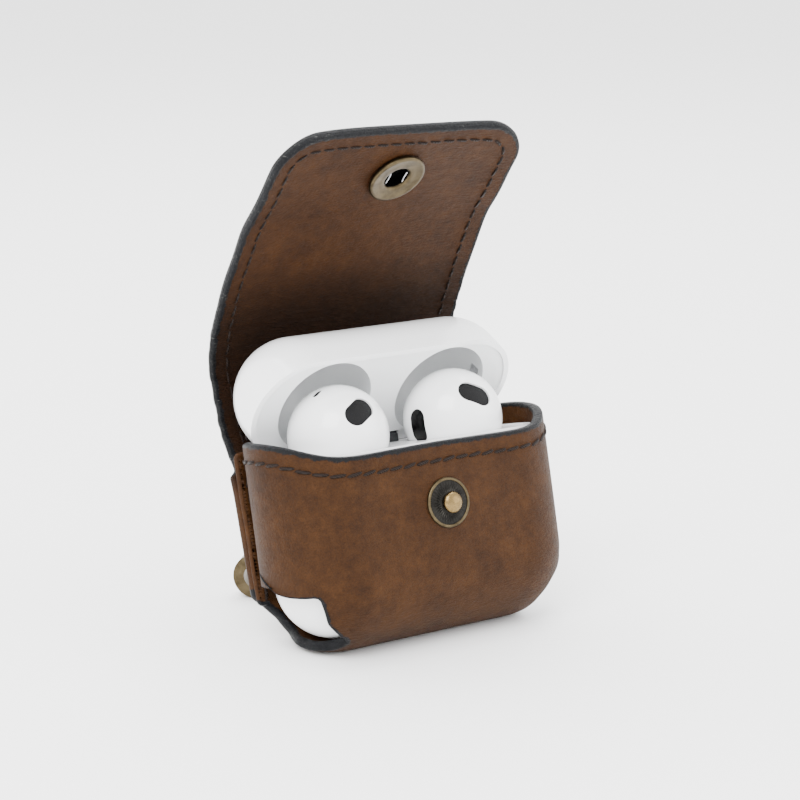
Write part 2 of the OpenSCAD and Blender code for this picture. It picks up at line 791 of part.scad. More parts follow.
sleeve_leather();
seam_thread_left();
seam_thread_right();
rim_thread();
stud_flange();
stud_ribbed_plate();
stud_post();
stud_back_cap();
flap_base();
flap_bend();
flap_crown();
flap_front();
flap_thread_base();
flap_thread_bend();
flap_thread_crown();
flap_thread_front();
socket_ring();
socket_spring();
socket_cap();
base_shell();
bud_tray();
well_contacts();
battery_cells();
charging_board();
charging_port();
status_light();
pairing_button();
button_switch();
hinge_bracket();
hinge_pin();
lid_leaf();
lid_shell();
lid_liner();
lid_magnets();
left_bud_shell();
left_bud_grille();
left_bud_sensor();
left_bud_vent();
left_bud_driver();
left_bud_cell();
left_bud_contact();
right_bud_shell();
right_bud_grille();
right_bud_sensor();
right_bud_vent();
right_bud_driver();
right_bud_cell();
right_bud_contact();
loop_tab();
loop_rivet();
hang_ring();
clasp_swivel();
clasp_hook();
clasp_lever();
clasp_lever_pin();
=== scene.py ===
"""Leather snap sleeve holding an open charging case and two earbuds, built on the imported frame."""
import json
import math
import random

import bmesh
import bpy
import numpy as np
from mathutils import Matrix, Vector, geometry, noise


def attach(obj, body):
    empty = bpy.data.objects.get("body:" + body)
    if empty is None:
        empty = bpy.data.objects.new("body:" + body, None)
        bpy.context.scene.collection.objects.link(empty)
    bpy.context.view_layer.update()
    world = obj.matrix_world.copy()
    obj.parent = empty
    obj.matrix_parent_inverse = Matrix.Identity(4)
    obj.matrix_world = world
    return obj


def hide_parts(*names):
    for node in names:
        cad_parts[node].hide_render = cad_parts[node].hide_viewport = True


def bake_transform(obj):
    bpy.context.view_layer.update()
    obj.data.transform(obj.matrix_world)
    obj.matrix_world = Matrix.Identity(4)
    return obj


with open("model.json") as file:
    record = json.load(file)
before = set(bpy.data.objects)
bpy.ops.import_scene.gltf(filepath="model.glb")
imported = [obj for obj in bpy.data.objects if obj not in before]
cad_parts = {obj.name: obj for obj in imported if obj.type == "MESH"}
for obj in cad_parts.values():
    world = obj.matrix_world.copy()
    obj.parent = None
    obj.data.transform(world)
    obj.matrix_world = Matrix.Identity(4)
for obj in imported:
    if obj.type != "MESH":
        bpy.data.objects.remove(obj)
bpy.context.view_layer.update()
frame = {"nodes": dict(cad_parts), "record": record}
NODES = frame["nodes"]
rng = random.Random(7)

# ---- Sizes in the sleeve's own frame, in millimetres -----------------------
# The sleeve leans back. Its round bottom has its axis at height BALL, and its foot is pressed flat.
LEAN = math.radians(13)
BALL = 12.9
FOOT = 0.5
# The plan is a stadium: round ends centred END_X out, of radius MID_R at the middle of the leather.
END_X = 16.5
THICK = 1.8
MID_R = 12.0
# Half widths of the back, where the seam lips are, and of the flap above it.
LIP_W = 27.3
LIP_TAPER = 0.9
FLAP_W = 26.0
LIP_LOW = 9.2
LIP_TOP = 36.0
FOLD_Z = 33.0
STUD_Z = 23.2
# Line of the flap's inner face, (y, z), from the fold to where its flat end starts.
FLAP_LINE = [(11.1, 33), (13.3, 35.8), (15, 38.6), (16.3, 42.2), (17.2, 47), (16.9, 52),
             (14.1, 57.5), (11.2, 61), (8.3, 64.4), (5.5, 67.5), (2.2, 70.7), (-1.2, 73.8)]
END_ANGLE = math.radians(36)
END_LEN = 22.5
END_ROUND = 9.0
END_ROUND_LEFT = 7.0
SOCKET_ALONG = 10.7
STITCH_IN = 3.2
RIM_STITCH_IN = 3.1
PITCH = 2.75
# How far a stitch row's own middle lies below the face.
SUNK = 0.05
LIP_THICK = 1.15
TAB_THICK = 1.1


def stand(p):
    """Points in the sleeve's own frame, in mm, to the row frame, in metres."""
    p = np.asarray(p, float)
    c, s = math.cos(LEAN), math.sin(LEAN)
    y, z = p[..., 1], p[..., 2] - BALL
    return np.stack([p[..., 0], y * c + z * s, BALL - FOOT - y * s + z * c], -1) / 1000


def turn(d):
    """A direction in the sleeve's own frame to the row frame."""
    c, s = math.cos(LEAN), math.sin(LEAN)
    return Vector((d[0], d[1] * c + d[2] * s, -d[1] * s + d[2] * c))


# ---- Camera -----------------------------------------------------------------
camera = bpy.data.objects.new("camera", bpy.data.cameras.new("camera"))
bpy.context.collection.objects.link(camera)
camera.data.sensor_width = 36
camera.data.lens = 107.8
camera.data.clip_end = 100
right = Vector((0.8174, -0.5761, 0))
up = Vector((0.1247, 0.1769, 0.9763))
back = Vector((-0.5625, -0.798, 0.2164))
eye = Vector((-0.2361, -0.3309, 0.1316))
camera.matrix_world = Matrix((
    (right.x, up.x, back.x, eye.x),
    (right.y, up.y, back.y, eye.y),
    (right.z, up.z, back.z, eye.z),
    (0, 0, 0, 1),
))
bpy.context.scene.camera = camera

# ---- Materials --------------------------------------------------------------


class Nodes:
    """Short calls for a material's node tree."""

    def __init__(self, name):
        self.material = bpy.data.materials.new(name)
        self.material.use_nodes = True
        self.tree = self.material.node_tree
        self.shader = self.tree.nodes["Principled BSDF"]

    def add(self, kind, inputs=(), **props):
        """A new node; an input is either another node's socket or a value."""
        n = self.tree.nodes.new(kind)
        for k, v in props.items():
            setattr(n, k, v)
        for k, v in dict(inputs).items():
            if isinstance(v, bpy.types.NodeSocket):
                self.tree.links.new(v, n.inputs[k])
            else:
                n.inputs[k].default_value = v
        return n

    def link(self, a, b):
        self.tree.links.new(a, b)

    def coords(self, stretch=(1000, 1000, 1000)):
        """The piece's own coordinates, in mm unless stretched otherwise."""
        tc = self.add("ShaderNodeTexCoord")
        mapping = self.add("ShaderNodeMapping", {"Vector": tc.outputs["Object"], "Scale": stretch})
        return mapping.outputs[0]

    def noise(self, co, scale, detail=4, rough=0.55):
        """Cloudy noise from 0 to 1."""
        inputs = {"Vector": co, "Scale": scale, "Detail": detail, "Roughness": rough}
        return self.add("ShaderNodeTexNoise", inputs).outputs[0]

    def cells(self, co, scale):
        """Distance to the nearest of many scattered points."""
        return self.add("ShaderNodeTexVoronoi", {"Vector": co, "Scale": scale}).outputs["Distance"]

    def ramp(self, value, stops):
        """A colour ramp of (position, colour) stops."""
        n = self.add("ShaderNodeValToRGB", {"Fac": value})
        e = n.color_ramp.elements
        while len(e) < len(stops):
            e.new(0.5)
        for el, (pos, col) in zip(e, stops):
            el.position = pos
            el.color = (*col, 1) if len(col) == 3 else col
        return n.outputs[0]

    def span(self, value, a, b, c=0.0, d=1.0):
        """Moves the range a to b onto c to d."""
        inputs = {"Value": value, "From Min": a, "From Max": b, "To Min": c, "To Max": d}
        return self.add("ShaderNodeMapRange", inputs).outputs[0]

    def calc(self, op, a, b=0.5):
        """One step of arithmetic."""
        return self.add("ShaderNodeMath", {0: a, 1: b}, operation=op).outputs[0]

    def mix(self, fac, a, b, blend="MIX"):
        """Colour a towards colour b by fac."""
        n = self.add("ShaderNodeMix", data_type="RGBA", blend_type=blend)
        for i, v in ((0, fac), (6, a), (7, b)):
            if isinstance(v, bpy.types.NodeSocket):
                self.tree.links.new(v, n.inputs[i])
            else:
                n.inputs[i].default_value = (*v, 1) if i and len(v) == 3 else v
        return n.outputs[2]

    def bump(self, height, strength, distance, normal=None):
        """A normal roughened by a height, over another one if given."""
        n = self.add("ShaderNodeBump", {"Height": height, "Strength": strength, "Distance": distance})
        if normal:
            self.link(normal, n.inputs["Normal"])
        return n.outputs[0]

    def put(self, **sockets):
        """Set the shader's inputs, with _ for a space in their names, and return the material."""
        for k, v in sockets.items():
            k = k.replace("_", " ")
            if isinstance(v, bpy.types.NodeSocket):
                self.link(v, self.shader.inputs[k])
            else:
                self.shader.inputs[k].default_value = (*v, 1) if isinstance(v, tuple) and len(v) == 3 else v
        return self.material


def leather(name, deep, mid, pale):
    """Pull-up leather with fine grain; its cut edges are painted near black and worn.
    The sheet carries four values: rim, crease (where its fold lines are darkened as painted shade), a painted
    shade darker towards the fold, and wear (of the paint)."""
    m = Nodes(name)
    co = m.coords()
    cloud = m.noise(co, 0.13, 3, 0.6)
    patch = m.noise(co, 0.6, 5, 0.65)
    pores = m.noise(co, 3.2, 6, 0.7)
    tone = m.calc("ADD", m.calc("MULTIPLY", cloud, 0.5), m.calc("MULTIPLY", patch, 0.5))
    tone = m.calc("ADD", m.calc("MULTIPLY", tone, 0.72), m.calc("MULTIPLY", pores, 0.28))
    colour = m.ramp(tone, [(0.36, deep), (0.5, mid), (0.66, pale)])
    grain = m.cells(co, 3.4)
    speck = m.span(grain, 0.0, 0.5, 0.72, 1.06)
    speck_grey = m.add("ShaderNodeCombineColor", {0: speck, 1: speck, 2: speck}).outputs[0]
    colour = m.mix(1.0, colour, speck_grey, "MULTIPLY")
    crease = m.add("ShaderNodeAttribute", attribute_name="crease").outputs["Fac"]
    long_co = m.coords((260, 1000, 1400))
    lines = m.noise(long_co, 0.9, 5, 0.7)
    folds = m.calc("MULTIPLY", m.calc("ABSOLUTE", m.calc("SUBTRACT", lines, 0.5)), 4.0)
    folds = m.calc("MINIMUM", folds, 1.0)
    # painted shade: the fold lines in the crease zone are darkened towards the deep tone
    shade = m.calc("MULTIPLY", m.calc("SUBTRACT", 1.0, folds), crease)
    colour = m.mix(m.calc("MULTIPLY", shade, 0.55), colour, deep)
    # painted shade: the flap is darkened over its lower part, near the fold
    fold_shade = m.add("ShaderNodeAttribute", attribute_name="fold_shade").outputs["Fac"]
    colour = m.mix(m.calc("MULTIPLY", fold_shade, 0.3), colour, tuple(c * 0.6 for c in deep))
    # painted edge
    rim = m.add("ShaderNodeAttribute", attribute_name="rim").outputs["Fac"]
    ragged = m.calc("MULTIPLY", m.calc("SUBTRACT", m.noise(co, 0.9, 5, 0.7), 0.5), 1.6)
    paint = m.span(m.calc("ADD", rim, ragged), 0.8, 0.6)
    streak = m.noise(m.coords((700, 700, 2200)), 1.1, 6, 0.75)
    worn = m.span(streak, 0.6, 0.7)
    wear = m.add("ShaderNodeAttribute", attribute_name="wear").outputs["Fac"]
    worn = m.calc("MULTIPLY", worn, wear)
    ink = m.mix(m.noise(co, 1.7, 3), (0.0015, 0.0016, 0.002), (0.0065, 0.007, 0.0085))
    ink = m.mix(worn, ink, (0.16, 0.16, 0.15))
    colour = m.mix(paint, colour, ink)
    height = m.calc("ADD", m.calc("MULTIPLY", grain, 0.5), m.calc("MULTIPLY", pores, 0.7))
    normal = m.bump(height, 0.55, 0.00014)
    normal = m.bump(m.noise(co, 0.7, 4, 0.6), 0.5, 0.0004, normal)
    hair = m.noise(m.coords((1500, 900, 500)), 1.3, 5, 0.7)
    normal = m.bump(hair, 0.4, 0.0002, normal)
    normal = m.bump(m.calc("MULTIPLY", folds, crease), 0.9, 0.0011, normal)
    normal = m.bump(m.calc("MULTIPLY", streak, paint), 0.5, 0.0004, normal)
    rough = m.add("ShaderNodeMix", {0: paint, 2: m.span(pores, 0.3, 0.7, 0.62, 0.5), 3: 0.42}).outputs[0]
    return m.put(Base_Color=colour, Roughness=rough, Normal=normal, Specular_IOR_Level=0.1)


def thread_look():
    """Dark waxed thread with its twist."""
    m = Nodes("waxed_thread")
    strands = {"Vector": m.coords(), "Scale": 1.2, "Distortion": 2.0, "Detail": 2.0}
    twist = m.add("ShaderNodeTexWave", strands, bands_direction="DIAGONAL").outputs["Fac"]
    colour = m.mix(twist, (0.003, 0.0017, 0.0012), (0.015, 0.0085, 0.006))
    return m.put(Base_Color=colour, Roughness=0.5, Normal=m.bump(twist, 0.6, 0.0002), Specular_IOR_Level=0.12)


def metal(name, base, dull, rough, patina):
    """Metal with a cloudy, slightly tarnished skin."""
    m = Nodes(name)
    co = m.coords()
    cloud = m.noise(co, 0.5, 5, 0.65)
    fine = m.noise(co, 5.0, 4, 0.7)
    colour = m.ramp(cloud, [(0.3, dull), (0.62, base)])
    colour = m.mix(m.calc("MULTIPLY", fine, patina), colour, dull)
    dulled = m.span(fine, 0.3, 0.7, rough - 0.07, rough + 0.1)
    return m.put(Base_Color=colour, Metallic=1.0, Roughness=dulled, Normal=m.bump(fine, 0.06, 0.0001))


def plastic(name, base, shade, rough, coat=0.0, gloss=0.5):
    """Moulded plastic, with a faint drift of tone and a very fine texture."""
    m = Nodes(name)
    co = m.coords()
    soft = m.noise(co, 0.06, 2)
    fine = m.noise(co, 9.0, 3)
    colour = m.mix(soft, base, shade)
    uneven = m.span(fine, 0.3, 0.7, rough * 0.85, rough * 1.15)
    return m.put(Base_Color=colour, Roughness=uneven, Coat_Weight=coat, Coat_Roughness=0.06,
                 Normal=m.bump(fine, 0.02, 0.00005), Specular_IOR_Level=gloss)


def mesh_black():
    """Fine black wire mesh over the speaker openings."""
    m = Nodes("black_mesh")
    co = m.coords()
    holes = m.cells(co, 5.5)
    colour = m.ramp(holes, [(0.12, (0.0008, 0.0008, 0.0008)), (0.4, (0.004, 0.004, 0.0045))])
    return m.put(Base_Color=colour, Roughness=0.5, Normal=m.bump(holes, 0.5, 0.0001), Specular_IOR_Level=0.12)


BROWN = ((0.0165, 0.0056, 0.001), (0.029, 0.0104, 0.002), (0.047, 0.0182, 0.0043))
# The flap's leather is the body's brown made a little darker: painted shade for the flap, which stands in
# shade; the loop behind shares it.
SHADED_BROWN = ((0.014, 0.0045, 0.0008), (0.0265, 0.0092, 0.0018), (0.043, 0.0163, 0.0038))
LOOKS = {
    "leather_body": leather("leather_body", *BROWN),
    "leather_flap": leather("leather_flap", *SHADED_BROWN),
    "thread": thread_look(),
    "antique_brass": metal("antique_brass", (0.1, 0.077, 0.043), (0.038, 0.028, 0.015), 0.34, 0.35),
    "post_brass": metal("post_brass", (0.22, 0.15, 0.062), (0.1, 0.066, 0.027), 0.26, 0.25),
    "dark_plate": metal("dark_plate", (0.022, 0.0205, 0.018), (0.008, 0.0076, 0.007), 0.36, 0.4),
    "steel": metal("steel", (0.62, 0.62, 0.63), (0.42, 0.42, 0.44), 0.28, 0.2),
    "hinge_grey": metal("hinge_grey", (0.13, 0.135, 0.14), (0.08, 0.082, 0.085), 0.38, 0.3),
    "white_plastic": plastic("white_plastic", (0.86, 0.865, 0.87), (0.84, 0.845, 0.855), 0.2, 0.35),
    "tray_plastic": plastic("tray_plastic", (0.78, 0.785, 0.79), (0.74, 0.745, 0.75), 0.24, 0.3),
    "liner_plastic": plastic("liner_plastic", (0.76, 0.77, 0.775), (0.72, 0.73, 0.735), 0.34, 0.15),
    "black_mesh": mesh_black(),
    "black_window": plastic("black_window", (0.001, 0.001, 0.001), (0.002, 0.002, 0.002), 0.2, gloss=0.2),
    "cell": plastic("cell", (0.10, 0.10, 0.11), (0.14, 0.14, 0.15), 0.4),
    "board": plastic("board", (0.01, 0.08, 0.035), (0.02, 0.11, 0.05), 0.45),
    "gold": metal("gold", (0.78, 0.58, 0.22), (0.5, 0.36, 0.12), 0.25, 0.2),
    "light": plastic("light", (0.45, 0.62, 0.45), (0.5, 0.66, 0.5), 0.3),
}
SLOT = {p["node"]: p["material_slot"] for p in frame["record"]["subparts"]}


def paint(obj, slot):
    """Give a piece the material of its slot."""
    obj.data.materials.clear()
    obj.data.materials.append(LOOKS[slot])


for node, obj in NODES.items():
    obj.data.materials.clear()
    obj.data.materials.append(LOOKS[SLOT[node]])
    obj.data.polygons.foreach_set("use_smooth", [True] * len(obj.data.polygons))
    obj.data.set_sharp_from_angle(angle=math.radians(32))

# ---- Mesh helpers -----------------------------------------------------------


def make(name, verts, faces, slot, body=None, node=None):
    """A mesh object from points in metres in the row frame."""
    me = bpy.data.meshes.new(name)
    me.from_pydata([tuple(v) for v in verts], [], [tuple(int(i) for i in f) for f in faces])
    me.validate()
    bm = bmesh.new()
    bm.from_mesh(me)
    bmesh.ops.recalc_face_normals(bm, faces=bm.faces)
    bm.to_mesh(me)
    bm.free()
    me.polygons.foreach_set("use_smooth", [True] * len(me.polygons))
    obj = bpy.data.objects.new(name, me)
    bpy.context.collection.objects.link(obj)
    paint(obj, slot)
    if body:
        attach(obj, body)
    if node:
        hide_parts(node)
    return obj


def rounded(points, step=0.75):
    """A closed outline from corners (x, y, radius), with arcs at the corners and even steps."""
    n = len(points)
    out = []
    for i in range(n):
        p = np.array(points[i][:2], float)
        a = np.array(points[i - 1][:2], float) - p
        b = np.array(points[(i + 1) % n][:2], float) - p
        r = points[i][2]
        la, lb = np.linalg.norm(a), np.linalg.norm(b)
        a, b = a / la, b / lb
        half = math.acos(np.clip(a @ b, -1, 1)) / 2
        if r <= 0 or half > 1.55:
            out.append(p)
            continue
        cut = min(r / math.tan(half), 0.49 * la, 0.49 * lb)
        r = cut * math.tan(half)
        centre = p + (a + b) / np.linalg.norm(a + b) * r / math.sin(half)
        s, e = p + a * cut, p + b * cut
        t0 = math.atan2(*(s - centre)[::-1])
        d = (math.atan2(*(e - centre)[::-1]) - t0 + math.pi) % (2 * math.pi) - math.pi
        k = max(2, int(abs(d) * r / step) + 1)
        angles = [t0 + d * j / k for j in range(k + 1)]
        out += [centre + r * np.array([math.cos(t), math.sin(t)]) for t in angles]
    dense = []
    for i in range(len(out)):
        p, q = out[i], out[(i + 1) % len(out)]
        k = max(1, round(np.linalg.norm(q - p) / step))
        dense += [p + (q - p) * j / k for j in range(k)]
    return np.array(dense)


def inside(pts, lp):
    """Which points lie inside an outline."""
    hit = np.zeros(len(pts), bool)
    for p, q in zip(lp, np.roll(lp, -1, 0)):
        cross = (p[1] > pts[:, 1]) != (q[1] > pts[:, 1])
        with np.errstate(divide="ignore", invalid="ignore"):
            x = (q[0] - p[0]) * (pts[:, 1] - p[1]) / (q[1] - p[1]) + p[0]
        hit ^= cross & (pts[:, 0] < x)
    return hit


def inset(lp, d):
    """The outline moved to its left side by d."""
    t = np.roll(lp, -1, 0) - np.roll(lp, 1, 0)
    t /= np.linalg.norm(t, axis=1)[:, None]
    return lp + d * np.stack([-t[:, 1], t[:, 0]], 1)


# The rounded edge of a sheet: (distance in from the outline, share of the half thickness there)
RINGS = [(0.0, 0.62), (0.12, 0.86), (0.4, 0.98), (0.8, 1.0), (1.3, 1.0), (2.0, 1.0)]


def far_from(pts, others, gap):
    """The points that stand more than gap away from all the others."""
    block = 2000
    parts = [pts[i:i + block] for i in range(0, len(pts), block)]
    near = [np.linalg.norm(p[:, None] - others[None], axis=2).min(1) for p in parts]
    return pts[np.concatenate(near) > gap]


def panel(loop, surface, thick, grid=0.85, cuts=()):
    """A sheet of leather with rounded edges. loop is its outline in the flat; surface(s, t, h) bends it.
    cuts are the values of t where it is parted later, so rows of points lie on them.
    Returns points, faces, distance from the edge, and the flat place of each point."""
    rings = [inset(loop, d) for d, _ in RINGS]
    for c in cuts:
        for ring in rings:
            ring[np.abs(loop[:, 1] - c) < 1e-6, 1] = c
    last = rings[-1]
    lo, hi = loop.min(0), loop.max(0)
    gx, gy = np.meshgrid(np.arange(lo[0], hi[0], grid), np.arange(lo[1], hi[1], grid * 0.87))
    gx[1::2] += grid / 2
    pts = np.stack([gx.ravel(), gy.ravel()], 1)
    pts = pts[inside(pts, last)]
    for c in cuts:
        pts = pts[np.abs(pts[:, 1] - c) > grid * 0.45]
    pts = far_from(pts, last, grid * 0.55)
    edges = [(i, (i + 1) % len(last)) for i in range(len(last))]
    coords = [last, pts]
    count = len(last) + len(pts)
    for c in cuts:
        ends = sorted((last[i, 0], i) for i in np.nonzero(np.abs(last[:, 1] - c) < 1e-4)[0])
        (x0, i0), (x1, i1) = ends[0], ends[-1]
        k = round((x1 - x0) / grid)
        row = np.stack([np.linspace(x0, x1, k + 1)[1:-1], np.full(k - 1, c)], 1)
        ids = [i0, *range(count, count + k - 1), i1]
        edges += list(zip(ids, ids[1:]))
        coords.append(row)
        count += k - 1
    flat = np.concatenate(coords)
    v2, _, tris, orig, _, _ = geometry.delaunay_2d_cdt([Vector(p) for p in flat], edges, [], 0, 1e-6)
    v2 = np.array([tuple(v) for v in v2])
    place = {o: k for k, os_ in enumerate(orig) for o in os_}
    mid = np.array([v2[list(t)].mean(0) for t in tris])
    tris = [t for t, ok in zip(tris, inside(mid, last)) if ok]
    verts, rim, where, faces = [], [], [], []

    def put(st, h, d):
        """Add a layer of points at height h, with their distance d from the edge."""
        base = len(rim)
        verts.append(surface(st[:, 0], st[:, 1], np.full(len(st), h * thick / 2)))
        rim.extend([d] * len(st))
        where.extend(st)
        return base

    skins = []
    for side in (1, -1):
        base = put(v2, side, 3.0)
        for i in range(len(last)):
            rim[base + place[i]] = RINGS[-1][0]
        faces += [tuple(base + i for i in t) for t in tris]
        ids = [[base + place[i] for i in range(len(last))]]
        for (d, h), ring in list(zip(RINGS, rings))[-2::-1]:
            b = put(ring, side * h, d)
            ids.append(list(range(b, b + len(ring))))
        skins.append(ids)
    b = put(inset(loop, -0.14), 0.0, 0.0)
    chain = skins[0] + [list(range(b, b + len(loop)))] + skins[1][::-1]
    for p, q in zip(chain, chain[1:]):
        for i in range(len(loop)):
            j = (i + 1) % len(loop)
            faces.append((p[i], p[j], q[j], q[i]))
    return np.concatenate(verts), faces, np.array(rim), np.array(where)


def lathe(name, profile, place, axis, slot, body, node, turns, wave=None, caps=(True, True), loop=False):
    """Turned piece: profile of (radius, height) in mm, seated at place with its axis along a direction.
    wave adds height by radius and angle, caps close the first and last circle, loop joins the two."""
    q = Vector((0, 0, 1)).rotation_difference(axis)
    verts, faces = [], []
    for i, (r, h) in enumerate(profile):
        for j in range(turns):
            a = 2 * math.pi * j / turns
            hh = h + (wave(r, a) if wave else 0)
            verts.append(place + q @ Vector((r * math.cos(a), r * math.sin(a), hh)) / 1000)
    for i in range(len(profile) - 1):
        for j in range(turns):
            k = (j + 1) % turns
            faces.append((i * turns + j, i * turns + k, (i + 1) * turns + k, (i + 1) * turns + j))
    last = (len(profile) - 1) * turns
    if loop:
        faces += [(last + j, last + (j + 1) % turns, (j + 1) % turns, j) for j in range(turns)]
    else:
        if caps[0]:
            faces.append(tuple(range(turns))[::-1])
        if caps[1]:
            faces.append(tuple(last + j for j in range(turns)))
    obj = make(name, verts, faces, slot, body, node)
    obj.data.set_sharp_from_angle(angle=math.radians(50))
    return obj


# ---- The sleeve's surface ---------------------------------------------------
# In the flat, s runs across from the middle and t down the front from the axis of the round bottom, so t is
# positive up the front and negative under the case, up the back and along the flap.
HALF = MID_R * math.pi
FOLD_T = -HALF - (FOLD_Z - BALL)


def spline(points, per=24):
    """Catmull-Rom through the points. Returns even steps of length, the places there, the whole length."""
    p = np.array(points, float)
    p = np.vstack([2 * p[0] - p[1], p, 2 * p[-1] - p[-2]])
    out = []
    for i in range(1, len(p) - 2):
        t = np.linspace(0, 1, per, endpoint=False)[:, None]
        a, b, c, d = p[i - 1], p[i], p[i + 1], p[i + 2]
        square = (2 * a - 5 * b + 4 * c - d) * t ** 2
        cube = (3 * b - a - 3 * c + d) * t ** 3
        out.append(0.5 * (2 * b + (c - a) * t + square + cube))
    out.append(p[-2][None])
    c = np.vstack(out)
    l = np.r_[0, np.cumsum(np.linalg.norm(np.diff(c, axis=0), axis=1))]
    s = np.arange(0, l[-1], 0.25)
    return s, np.stack([np.interp(s, l, c[:, 0]), np.interp(s, l, c[:, 1])], 1), l[-1]


end_dir = np.array([-math.cos(END_ANGLE), math.sin(END_ANGLE)])
tip = np.array(FLAP_LINE[-1]) + END_LEN * end_dir
guide = [(11.1, 22), (11.1, 25), (11.1, 28), (11.25, 30.8), (11.75, 33.2), *FLAP_LINE[1:],
         *[tuple(np.array(FLAP_LINE[-1]) + k * end_dir) for k in (4, 9, 14, 19)], tuple(tip)]
LS, LINE, _ = spline(guide)
for _ in range(3):
    LINE[1:-1] = (LINE[:-2] + 2 * LINE[1:-1] + LINE[2:]) / 4
tangent = np.gradient(LINE, LS, axis=0)
tangent /= np.linalg.norm(tangent, axis=1)[:, None]
# Below this height the back is flat, and above it the sheet follows the flap's line.
STRAP_Z = 22.0
STRAP_T = -HALF - (STRAP_Z - BALL)


def along(point):
    """Length along the flap's line of the place nearest to a point."""
    return float(LS[np.linalg.norm(LINE - np.array(point), axis=1).argmin()])


L_JOINT = [along(p) for p in ((11.3, 32.2), (16.3, 42.2), (14.1, 57.5), (8.3, 64.4))]
L_TIP = float(LS[-1])
L_SOCKET = L_TIP - END_LEN + SOCKET_ALONG


def smooth(a, b, x):
    """0 before a and 1 after b, eased between."""
    u = np.clip((x - a) / (b - a), 0, 1)
    return u * u * (3 - 2 * u)


def wrinkle(s, l):
    """Creases across the flap where it bends behind the lid."""
    out = np.zeros(len(s))
    zone = smooth(L_JOINT[0], L_JOINT[0] + 6, l) * (1 - smooth(L_JOINT[2] - 4, L_JOINT[2] + 10, l))
    for i in np.nonzero(zone > 0.01)[0]:
        fold = noise.noise(Vector((s[i] * 0.07, l[i] * 0.42, 3.1)))
        lump = noise.noise(Vector((s[i] * 0.16, l[i] * 0.9, 9.7)))
        out[i] = zone[i] * (0.3 * (1 - min(1, abs(fold) * 5)) + 0.08 * abs(lump))
    return out


def bend(s, t, h):
    """The sheet's place in mm: down the front, round the bottom, up the back and along the flap."""
    side = np.sign(s)
    a = np.abs(s)
    x_flat = np.maximum(a - END_X, 0)
    theta = np.clip(-t / MID_R, 0, math.pi)
    wrap = 1 - 0.35 * smooth(0.3, 1.2, theta) - 0.65 * smooth(1.9, 2.9, theta)
    radius = MID_R / np.maximum(wrap, 1e-3)
    turned = np.minimum(x_flat / radius, 3.0)
    nx = np.sin(turned)
    off = radius * (1 - np.cos(turned))
    base_x = np.minimum(a, END_X) + np.where(wrap > 1e-3, radius * nx, x_flat)
    ny = np.cos(turned)
    reach = MID_R - off
    cy, cz = -np.cos(theta), -np.sin(theta)
    lift = np.maximum(t, 0)
    rise = np.maximum(-t - HALF, 0)
    y = reach * cy + h * ny * cy
    z = BALL + reach * cz + h * ny * cz + lift + rise
    x = side * (base_x + h * nx)
    # hand-cut leather is never quite true
    sag = 0.16 * np.sin(s * 0.21 + 1.0) * np.sin(t * 0.17 + 0.4) * (t > -HALF)
    y = y + sag * cy * ny
    # flap
    on = t < STRAP_T
    if on.any():
        l = STRAP_T - t[on]
        py, pz = np.interp(l, LS, LINE[:, 0]), np.interp(l, LS, LINE[:, 1])
        ty, tz = np.interp(l, LS, tangent[:, 0]), np.interp(l, LS, tangent[:, 1])
        w = smooth(L_JOINT[0] - 1, L_JOINT[1] + 4, l)
        cup = 1.5 * w * (a[on] / FLAP_W) ** 4
        hem = 0.12 * w * np.sin(l * 0.45 + 0.6 * side[on]) * smooth(15, 26, a[on])
        hh = h[on] + THICK / 2 - cup + hem + wrinkle(s[on], l)
        y[on] = py + hh * tz
        z[on] = pz - hh * ty
        x[on] = s[on]
    return np.stack([x, y, z], -1)


def skin(s, t, h):
    """The sheet's place in the row frame, pressed flat where it meets the floor."""
    p = stand(bend(s, t, h))
    p[:, 2] = np.maximum(p[:, 2], 0)
    return p


# ---- The sheet's outline in the flat ------------------------------------------
# Outline points are (s, t, radius). The ears end behind the case, 58 degrees past its widest place.
EAR_END = END_X + MID_R * (math.pi / 2 + math.radians(58))
flap_end_t = STRAP_T - L_TIP
CUTS_L = [along((11.1, 26.2)), along((15.3, 39.4)), along((17.1, 49.5)), along((11.2, 61))]
CUTS = [STRAP_T - c for c in CUTS_L]
# Half widths of the flap by length along it, to the right and to the left: cut by hand, so not quite true
WIDE_R = ([0, 36, 43, 55, 63, L_TIP], [26, 26, 25.8, 24.9, 24.5, 24.2])
WIDE_L = ([0, 30, 37, 53, 70, L_TIP], [26, 26, 26.4, 27.5, 27.7, 27.2])
# Height of the rim along the flat sheet: a low front and raised ears
RIM = ([0, 10, 16, 20, 23, 27, 30.5, 35.5, 41, 48],
       [20.85, 20.7, 20.6, 20.75, 21.35, 22.95, 24.0, 24.75, 24.9, 24.5])
rim_pts = []
for s in np.linspace(EAR_END - 0.4, 0, 44):
    rim_pts.append((s, float(np.interp(s + np.linspace(-3, 3, 13), *RIM).mean()), 0))
corner_top = (EAR_END, rim_pts[0][1] - 0.8, 0.6)
# From the strip under the case up the back to the flap
lip_side = [(23.0, -31.2, 2), (24.6, -33.6, 2), (LIP_W - LIP_TAPER, -35.4, 1.2),
            (LIP_W, FOLD_T + 0.8, 0.8), (FLAP_W, FOLD_T - 0.6, 1.5)]
